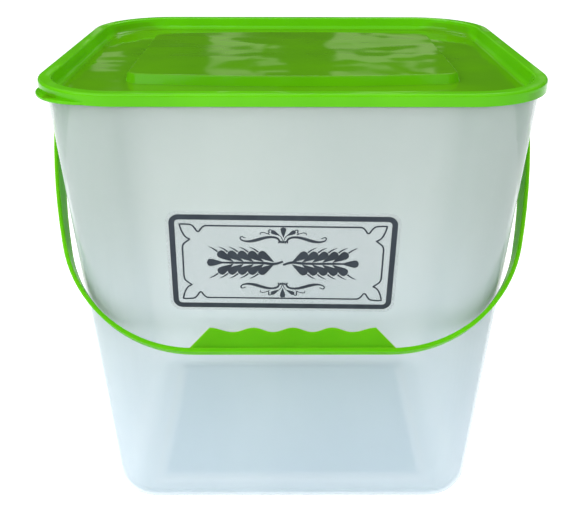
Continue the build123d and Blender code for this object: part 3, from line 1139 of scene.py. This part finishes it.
@dataclass(frozen=True)
class Lid:
    """The green lid: a rim, a sunk panel with a bowed plateau, and a pull tab."""

    outer: Outline = Outline(250.0 * MM, 212.0 * MM, 44.0 * MM, 258.7 * MM)
    wall: float = 1.5 * MM
    skirt_bottom: float = 253.0 * MM
    mouth_height: float = 257.2 * MM
    plug_inset: float = 5.0 * MM
    rim_round: float = 1.3 * MM
    rim_inner_round: float = 0.8 * MM
    recess_depth: float = 7.0 * MM
    recess_draft: float = 12.0
    recess_round: float = 3.2 * MM
    plateau: tuple[float, float] = (172.0 * MM, 112.0 * MM)
    plateau_bow: float = 6.5 * MM
    plateau_height: float = 4.7 * MM
    plateau_corner_run: float = 9.0 * MM
    plateau_corner_share: float = 0.86  # the corners aren't square, because the long sides are bowed
    plateau_draft: float = 20.0
    plateau_round_run: float = 0.7 * MM
    tab_radius: float = 27.5 * MM
    tab_reach: float = 4.0 * MM
    tab_thickness: float = 1.5 * MM
    tab_round: float = 0.5 * MM
    tab_bite: float = 0.6  # how deep the tab goes into the skirt, as a share of its wall
    corner_steps: int = 16
    bow_steps: int = 16
    bend_steps: int = 6
    rim_steps: int = 5
    rim_inner_steps: int = 3
    plateau_corner_steps: int = 6
    plateau_round_steps: int = 4

    @property
    def panel_top(self) -> float:
        """Height of the sunk panel's upper face."""
        return self.outer.height - self.recess_depth

    def outlines(self) -> list[Outline]:
        """List the outlines that the lid's surface runs through.

        Returns:
            From the panel's upper face over the rim and round to its underside.
        """
        slant = self.recess_depth * tan(radians(self.recess_draft))
        rim_inner = self.plug_inset + self.wall
        return [
            self.outer.inset(rim_inner + slant, self.panel_top),
            self.outer.inset(rim_inner, self.outer.height),
            self.outer,
            self.outer.inset(0.0, self.skirt_bottom),
            self.outer.inset(self.wall, self.skirt_bottom),
            self.outer.inset(self.wall, self.mouth_height),
            self.outer.inset(self.plug_inset, self.mouth_height),
            self.outer.inset(self.plug_inset + slant, self.panel_top - self.wall),
        ]

    def build_plateau(self, inset: float, base: float) -> Piece:
        """Make the raised field with bowed long sides.

        Args:
            inset: How much smaller it is all round.
            base: The height that it rises from.

        Returns:
            A solid that reaches a little below its base.
        """
        width, depth = (size - 2 * inset for size in self.plateau)
        radius = ((width / 2) ** 2 + self.plateau_bow**2) / (2 * self.plateau_bow)
        field = flat_plate(width, depth, (0, 0, base - self.wall / 2))
        select_where(field, lambda edge: keeps(edge, 1))
        bpy.ops.mesh.subdivide(number_cuts=self.bow_steps - 1)
        for number in range(len(edit_mesh(field).verts)):
            place = edit_mesh(field).verts[number].co.copy()
            bulge = sqrt(radius**2 - place.x**2) - (radius - self.plateau_bow)
            select_points(field, [number])
            bpy.ops.transform.translate(value=(0.0, bulge if place.y > 0 else -bulge, 0.0))
        corners = [vert.index for vert in edit_mesh(field).verts if abs(abs(vert.co.x) - width / 2) < SAME_PLACE]
        select_points(field, corners)
        corner_run = (self.plateau_corner_run - inset) * self.plateau_corner_share
        round_selected(corner_run, self.plateau_corner_steps, "VERTICES")
        select_all()
        bpy.ops.mesh.extrude_region_move(TRANSFORM_OT_translate={"value": (0, 0, self.wall / 2)})
        slant = self.plateau_height * tan(radians(self.plateau_draft))
        bpy.ops.mesh.inset(thickness=slant, depth=self.plateau_height)
        top = base + self.plateau_height
        select_where(field, lambda edge: lies_at(edge, 2, top))
        round_selected(self.plateau_round_run, self.plateau_round_steps)
        point_outwards()
        edit_mode(False)
        return field

    def build_tab(self) -> Piece:
        """Make the crescent that stands out past the front left corner.

        Returns:
            The tab, cut to fit round the lid's skirt.
        """
        shift = (self.tab_reach + self.outer.corner - self.tab_radius) / sqrt(2)
        across = self.outer.width / 2 - self.outer.corner + shift
        forward = self.outer.depth / 2 - self.outer.corner + shift
        tab = disc(self.tab_radius, self.tab_thickness,
                   Vector((-across, -forward, self.skirt_bottom + self.tab_thickness / 2)))
        round_sharp_edges(tab, self.tab_round)
        levels = (self.skirt_bottom - self.wall, self.outer.height)
        core = stacked_solid([self.outer.inset(self.wall * self.tab_bite, level) for level in levels],
                             self.corner_steps)
        edit_mode(False)
        unite(tab, core, "DIFFERENCE")
        return tab

    def build(self, plastic: Material) -> Piece:
        """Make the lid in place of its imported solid.

        Args:
            plastic: The green plastic.

        Returns:
            The lid.
        """
        outlines = self.outlines()
        lid = stacked_solid(outlines, self.corner_steps)
        bend_run = self.recess_round * tan(radians((90 - self.recess_draft) / 2))
        for outline, run, steps in (
            (outlines[0], bend_run, self.bend_steps),
            (outlines[1], self.rim_inner_round, self.rim_inner_steps),
            (outlines[2], self.rim_round, self.rim_steps),
            (outlines[-1], bend_run, self.bend_steps),
        ):
            round_outline(lid, outline, run, steps)
        edit_mode(False)
        unite(lid, self.build_plateau(0.0, self.panel_top))
        unite(lid, self.build_plateau(self.wall, self.panel_top - self.wall), "DIFFERENCE")
        unite(lid, self.build_tab())
        return finish_piece(lid, "lid_moulding", Body.LID, plastic, "lid")


@dataclass(frozen=True)
class Handle:
    """The green bail: one strap bent in a plane, an eye at each end and a scalloped grip."""

    rest_angle: float = 43.571
    reach: float = 159.0 * MM
    bend_radius: float = 72.7 * MM
    bend_angle: float = 76.5
    bend_steps: int = 20
    leg_radius: float = 385.0 * MM
    leg_steps: int = 8
    width_eye: float = 22.0 * MM
    width_grip: float = 8.5 * MM
    edge_round: float = 0.6 * MM
    eye: float = 11.5 * MM
    bore: float = 4.58 * MM
    grip_height: float = 13.4 * MM
    grip_thickness: float = 2.4 * MM
    grip_round: float = 0.5 * MM
    grip_half_top: float = 43.2 * MM
    crests: int = 5
    valley: float = 2.3 * MM
    grip_foot: float = 11.4 * MM
    grip_steps: int = 8
    crest_shoulder: float = 2.4 * MM
    shoulder_pull: tuple[float, float] = (0.25, 0.1)  # of the pitch along the crest, of the sloped end down it

    @property
    def leg_bow(self) -> float:
        """How far a leg bends in above the lower bend."""
        return self.leg_radius * (1 - sin(radians(self.bend_angle)))

    @property
    def crossbar_half(self) -> float:
        """Half length of the straight crossbar."""
        return BAIL_HALF_WIDTH - self.leg_bow - self.bend_radius * sin(radians(self.bend_angle))

    def build_strap(self) -> Piece:
        """Make the strap, in its own plane: X across, Y towards the pivots, Z through its width.

        Returns:
            The strap, left and right.
        """
        middle = (0.0, STRAP_THICKNESS / 2 - self.reach, 0.0)
        strap = flat_plate(self.width_eye, STRAP_THICKNESS, middle, upright=True)
        bpy.ops.mesh.extrude_region_move(TRANSFORM_OT_translate={"value": (self.crossbar_half, 0, 0)})
        turn = radians(self.bend_angle)
        bend_centre = Vector((self.crossbar_half, self.bend_radius - self.reach, 0.0))
        shift = self.leg_radius - self.bend_radius
        leg_centre = bend_centre + Vector((-shift * sin(turn), shift * cos(turn), 0.0))
        bends = ((self.bend_steps, turn, bend_centre), (self.leg_steps, pi / 2 - turn, leg_centre))
        for steps, angle, centre in bends:
            bpy.ops.mesh.spin(steps=steps, angle=angle, center=centre, axis=(0, 0, -1))
        bpy.ops.mesh.extrude_region_move(TRANSFORM_OT_translate={"value": (0, -leg_centre.y, 0)})
        select_where(strap, lambda face: abs(face.calc_center_median().x) < SAME_PLACE, "faces")
        bpy.ops.mesh.delete(type="FACE")
        point_outwards(SAME_PLACE)
        edit_mode(False)
        apply_modifier(strap, "MIRROR", use_axis=(True, False, False))
        return strap

    def build_grip(self) -> Piece:
        """Make the scalloped plate above the crossbar, in the strap's own plane.

        Returns:
            The plate.
        """
        crest = self.grip_height - self.reach
        half_top = self.grip_half_top
        pitch = 2 * (half_top - self.crest_shoulder) / (self.crests - 1)
        wave = [(-half_top, crest)]
        for step in range(1, 2 * self.crests - 2):
            drop_down = self.valley if step % 2 else 0.0
            wave.append(((step - self.crests + 1) * pitch / 2, crest - drop_down))
        wave.append((half_top, crest))
        root = STRAP_THICKNESS / 2 - self.reach
        feet = [(half_top + self.grip_foot, root), (-half_top - self.grip_foot, root)]
        curve = smooth_curve(
            [(across, along, 1.0) for across, along in wave + feet], {len(wave), len(wave) + 1}, True,
            dimensions="2D", fill_mode="BOTH", extrude=self.grip_thickness / 2, resolution_u=self.grip_steps,
        )
        along_crest, down_end = self.shoulder_pull
        for number, inward in ((0, 1), (len(wave) - 1, -1)):
            point = curve.splines[0].bezier_points[number]
            point.handle_left_type = point.handle_right_type = "FREE"
            level = point.co + Vector((inward * pitch * along_crest, 0.0, 0.0))
            towards_foot = point.co + Vector((-inward * self.grip_foot, root - crest, 0.0)) * down_end
            point.handle_right, point.handle_left = (level, towards_foot) if inward > 0 else (towards_foot, level)
        grip = mesh_of(curve)
        edit_mode()
        point_outwards(SAME_PLACE)
        edit_mode(False)
        round_sharp_edges(grip, self.grip_round)
        return grip

    def build(self, plastic: Material) -> Piece:
        """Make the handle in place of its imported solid, resting against the tub.

        Args:
            plastic: The green plastic.

        Returns:
            The handle.
        """
        handle = self.build_strap()
        narrowing = self.width_grip / self.width_eye - 1
        apply_modifier(handle, "SIMPLE_DEFORM", deform_method="TAPER", deform_axis="Y", lock_x=True,
                       factor=-narrowing)
        round_sharp_edges(handle, self.edge_round)
        unite(handle, self.build_grip())
        for side in (-1, 1):
            middle = Vector((side * (BAIL_HALF_WIDTH - STRAP_THICKNESS / 2), 0.0, 0.0))
            unite(handle, disc(self.eye, STRAP_THICKNESS, middle, sideways=True))
            unite(handle, disc(self.bore, 3 * STRAP_THICKNESS, middle, sideways=True), "DIFFERENCE")
        activate(handle)
        handle.rotation_euler.x = radians(90 - self.rest_angle)
        handle.location.z = PIVOT_HEIGHT
        bpy.ops.object.transform_apply(location=True, rotation=True)
        return finish_piece(handle, "handle_moulding", Body.HANDLE, plastic, "handle")


def dress(piece: Piece, material: Material) -> None:
    """Give a piece its one finish."""
    piece.data.materials.clear()
    piece.data.materials.append(material)


def hand_over(piece: Piece, name: str, body: Body) -> Piece:
    """Name a finished piece and join it to its body.

    Args:
        piece: The finished object, its place in its mesh.
        name: Its name in the table.
        body: The body that it rides on.

    Returns:
        The same object.
    """
    piece.name = name
    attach(piece, body.value)
    LOG.info("%s: %d faces", name, len(piece.data.polygons))
    return piece


def finish_piece(piece: Piece, name: str, body: Body, material: Material, node: str) -> Piece:
    """Smooth and dress a piece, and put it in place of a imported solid.

    Args:
        piece: The modelled piece.
        name: Its name in the table.
        body: The body that it rides on.
        material: Its finish.
        node: The solid that it replaces.

    Returns:
        The same object.
    """
    smooth(piece)
    dress(piece, material)
    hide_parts(node)
    return hand_over(piece, name, body)


@dataclass(frozen=True)
class Stroke:
    """A line of ink: points across, up and width in millimetres, and the numbers of its sharp points."""

    points: tuple[tuple[float, float, float], ...]
    sharp: frozenset[int] = frozenset()
    closed: bool = False

    def changed(self, side: int = 1, rise: int = 1, up: float = 0.0, bolder: float = 1.0) -> "Stroke":
        """Return the stroke moved up, then mirrored by the signs of side and rise, its widths multiplied."""
        points = tuple((side * u, rise * (v + up), w * bolder) for u, v, w in self.points)
        return Stroke(points, self.sharp, self.closed)


def drop(start: tuple[float, float], end: tuple[float, float], width: float) -> Stroke:
    """Draw a drop with its point at the start and its round end at the end.

    Args:
        start: The pointed end.
        end: The middle of the round end.
        width: The greatest width.

    Returns:
        The stroke.
    """
    steps = ((0.0, 0.06), (0.25, 0.40), (0.5, 0.74), (0.72, 0.97), (0.86, 0.95), (0.95, 0.66), (1.0, 0.12))
    (u0, v0), (u1, v1) = start, end
    return Stroke(tuple((u0 + (u1 - u0) * t, v0 + (v1 - v0) * t, width * w) for t, w in steps))


@dataclass(frozen=True)
class PrintedLabel:
    """The dark print on the clear film: a frame, a scalloped line, two flourishes and two ears of wheat."""

    size: tuple[float, float] = (112.5, 53.6)
    border: float = 2.8
    corner: float = 4.8
    line_width: float = 0.85
    line_half: tuple[float, float] = (50.1, 20.8)
    flourish_base: float = 11.9
    lean: float = 3.65
    turn: float = -0.8
    relief: float = 0.02
    proud: float = 0.07
    boldness: float = 1.45
    corner_steps: int = 10
    stroke_steps: int = 6
    stroke_round: int = 2

    def corner_line(self) -> list[tuple[float, float]]:
        """Return one corner of the thin line, from the side over the leaf's tip to the top, as offsets."""
        return [
            (1.0, 16.0), (1.0, 13.6), (1.5, 11.3), (3.1, 9.7), (4.9, 8.3), (3.0, 7.2), (1.3, 4.4), (0.0, 0.0),
            (3.2, 0.0), (6.0, 0.5), (7.5, 2.1), (9.1, 4.0), (10.6, 2.3), (12.2, 0.9), (14.2, 0.7), (17.0, 0.7),
        ]

    def frame_line(self) -> Stroke:
        """Draw the thin scalloped line inside the border.

        Returns:
            The closed stroke.
        """
        tip_u, tip_v = self.line_half[0] + 1.0, self.line_half[1] + 0.7
        corner = self.corner_line()
        points: list[tuple[float, float, float]] = []
        sharp: set[int] = set()
        for side, rise in ((-1, 1), (1, 1), (1, -1), (-1, -1)):
            order = corner if side * rise < 0 else corner[::-1]
            for du, dv in order:
                if (du, dv) in ((0.0, 0.0), (4.9, 8.3)):
                    sharp.add(len(points))
                points.append((side * (tip_u - du), rise * (tip_v - dv), self.line_width))
        return Stroke(tuple(points), frozenset(sharp), closed=True)

    def flourish(self) -> list[Stroke]:
        """Draw the right half of a flourish above its base, and its middle.

        Returns:
            The strokes, the middle ones first.
        """
        return [
            drop((0, 2.7), (0, 8.4), 2.0),
            Stroke(((0, 0.9, 0.5), (0, 0.2, 0.8), (0, -0.5, 0.6))),
            Stroke(((-2.2, 0.45, 0.4), (0, 0.3, 0.6), (2.2, 0.45, 0.4))),
            drop((1.6, 3.7), (6.0, 6.3), 1.55),
            Stroke(((0.25, 1.0, 0.3), (0.8, 2.5, 0.28), (1.7, 3.8, 0.22))),
            Stroke(((1.0, 0.9, 0.4), (1.05, 0.2, 0.6), (1.1, -0.5, 0.5))),
            Stroke(((2.0, 1.0, 0.4), (2.1, 0.2, 0.6), (2.2, -0.5, 0.5))),
            Stroke((
                (5.6, 6.5, 0.3), (6.5, 7.0, 0.42), (7.2, 6.5, 0.48), (7.0, 5.6, 0.45), (7.4, 4.8, 0.4),
                (6.6, 4.3, 0.25),
            )),
            Stroke(((6.9, 4.4, 0.22), (8.6, 5.1, 0.32), (10.2, 5.5, 0.36), (11.4, 5.0, 0.34), (11.3, 4.2, 0.22))),
            Stroke((
                (1.7, 0.2, 0.5), (2.2, 1.5, 0.7), (3.4, 2.5, 0.8), (5.2, 2.9, 0.8), (7.4, 2.85, 0.95),
                (10.5, 2.1, 1.15), (13.6, 1.1, 1.2), (16.6, 0.45, 0.95), (19.2, 0.6, 0.62), (21.0, 1.5, 0.5),
                (21.3, 2.5, 0.45), (20.4, 3.0, 0.4), (19.4, 2.5, 0.32), (18.6, 2.4, 0.2),
            )),
        ]

    def wheat_ear(self) -> list[Stroke]:
        """Draw the right one of the two ears of wheat that lie in the middle.

        Returns:
            The strokes.
        """
        strokes = [
            Stroke(((0.0, -1.0, 1.1), (4.0, 0.4, 1.5), (10.0, 0.0, 1.4), (26.0, 0.0, 1.2), (32.0, 0.0, 0.9))),
            drop((29.5, 0.0), (38.2, 0.0), 4.4),
        ]
        for step in range(5):
            u = 4.6 + 5.1 * step
            for rise in (-1, 1):
                strokes.append(drop((u, 0.7 * rise), (u + 7.6, 6.0 * rise), 4.6))
                tip = (u + 7.8, 6.3 * rise)
                awn = ((0.0, 0.0, 0.9), (2.0, 1.6, 0.7), (4.4, 2.8, 0.25))
                strokes.append(Stroke(tuple((tip[0] + du, tip[1] + dv * rise, width) for du, dv, width in awn)))
        return strokes

    def strokes(self) -> list[Stroke]:
        """Collect every stroke of the print but the broad border.

        Returns:
            The strokes in the label's own plane.
        """
        found = [self.frame_line()]
        for stroke in self.flourish():
            sides = (1, -1) if stroke.points[0][0] > 0 else (1,)
            found += [
                stroke.changed(side, rise, self.flourish_base, self.boldness) for rise in (1, -1) for side in sides
            ]
        for stroke in self.wheat_ear():
            stalk = stroke.points[0][0] == 0
            found += [stroke, stroke.changed(side=-1, rise=-1 if stalk else 1)]
        return found

    def place(self) -> Matrix:
        """Return the matrix that lays the label's plane on the front of the film."""
        low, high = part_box("label_film")
        lean = radians(self.lean)
        normal = Vector((0, -cos(lean), -sin(lean)))
        up = Vector((0, -sin(lean), cos(lean)))
        axes = Matrix((Vector((1, 0, 0)), up, normal)).transposed().to_4x4()
        centre = (low + high) / 2 + normal * self.proud * MM
        return Matrix.Translation(centre) @ axes @ Matrix.Rotation(radians(self.turn), 4, "Z")

    def build_border(self) -> Piece:
        """Make the broad border from a plate: rounded, inset and pierced.

        Returns:
            The border, flat about the origin.
        """
        width, height = self.size
        border = rounded_plate(Outline(width * MM, height * MM, self.corner * MM, 0.0), self.corner_steps)
        bpy.ops.mesh.inset(thickness=self.border * MM, depth=0.0)
        bpy.ops.mesh.delete(type="FACE")
        select_all()
        bpy.ops.mesh.extrude_region_move(TRANSFORM_OT_translate={"value": (0, 0, self.relief * MM)})
        edit_mode(False)
        return border

    def build_stroke(self, stroke: Stroke) -> Piece:
        """Make one stroke of ink as a flattened, tapering line.

        Args:
            stroke: What to draw.

        Returns:
            The mesh object, flat about the label's plane.
        """
        line = mesh_of(smooth_curve(
            [(u * MM, v * MM, width) for u, v, width in stroke.points], stroke.sharp, stroke.closed,
            dimensions="3D", bevel_depth=0.5 * MM, bevel_resolution=self.stroke_round,
            resolution_u=self.stroke_steps, use_fill_caps=True,
        ))
        line.scale = (1.0, 1.0, self.relief)
        bpy.ops.object.transform_apply(scale=True)
        return line

    def build(self, ink: Material) -> Piece:
        """Make the whole print and lay it on the film.

        Args:
            ink: The ink's material.

        Returns:
            The print as one piece.
        """
        parts = [self.build_border()] + [self.build_stroke(stroke) for stroke in self.strokes()]
        deselect_all()
        for part in parts:
            part.select_set(True)
        bpy.context.view_layer.objects.active = parts[0]
        bpy.ops.object.join()
        print_piece = bpy.context.object
        print_piece.data.transform(self.place())
        dress(print_piece, ink)
        return hand_over(print_piece, "label_print", Body.TUB)


def main() -> None:
    """Build the camera, the studio and the pieces in order."""
    logging.basicConfig(level=logging.INFO)
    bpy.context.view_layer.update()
    PhotoCamera().build()
    Studio().build()
    effects = Effects(ripple_group(), haze_group(), painted_shade_height_group(), field_group())
    milky = Milky().build(effects)
    lime_lid = Moulded(
        "lime_lid", (0.12, 0.55, 0.003), (0.105, 0.50, 0.002), haze_size=0.06, smooth=0.05, rough=0.10,
        ripple_length=0.042, ripple_depth=0.0013, index=1.25,
        # painted shade over the sunk panel, which lies lower and gets less light
        field=Field(117.0 * MM, 98.0 * MM, 3.0 * MM, 256.6 * MM, (0.84, 0.63, 0.50)),
    ).build(effects)
    lime_handle = Moulded(
        "lime_handle", (0.095, 0.42, 0.005), (0.086, 0.385, 0.004), haze_size=0.03, smooth=0.16, rough=0.24,
        ripple_length=0.02, ripple_depth=0.0001, index=1.2, glint=0.03, seep=1.0,
    ).build(effects)
    film = Moulded(
        "clear_film", (0.50, 0.57, 0.58), (0.47, 0.54, 0.555), haze_size=0.03, smooth=0.12, rough=0.2,
        ripple_length=0.02, ripple_depth=0.00005, solidity=0.18,
    ).build(effects)
    ink = Moulded(
        "printed_ink", (0.024, 0.033, 0.046), (0.038, 0.050, 0.064), haze_size=0.012, smooth=0.35, rough=0.5,
        ripple_length=0.01, ripple_depth=0.00001, glint=0.2,
    ).build(effects)
    Tub().build(milky)
    Lid().build(lime_lid)
    Handle().build(lime_handle)
    dress(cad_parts["label_film"], film)
    LOG.info("label_film: dressed")
    PrintedLabel().build(ink)


if __name__ == "__main__":
    main()
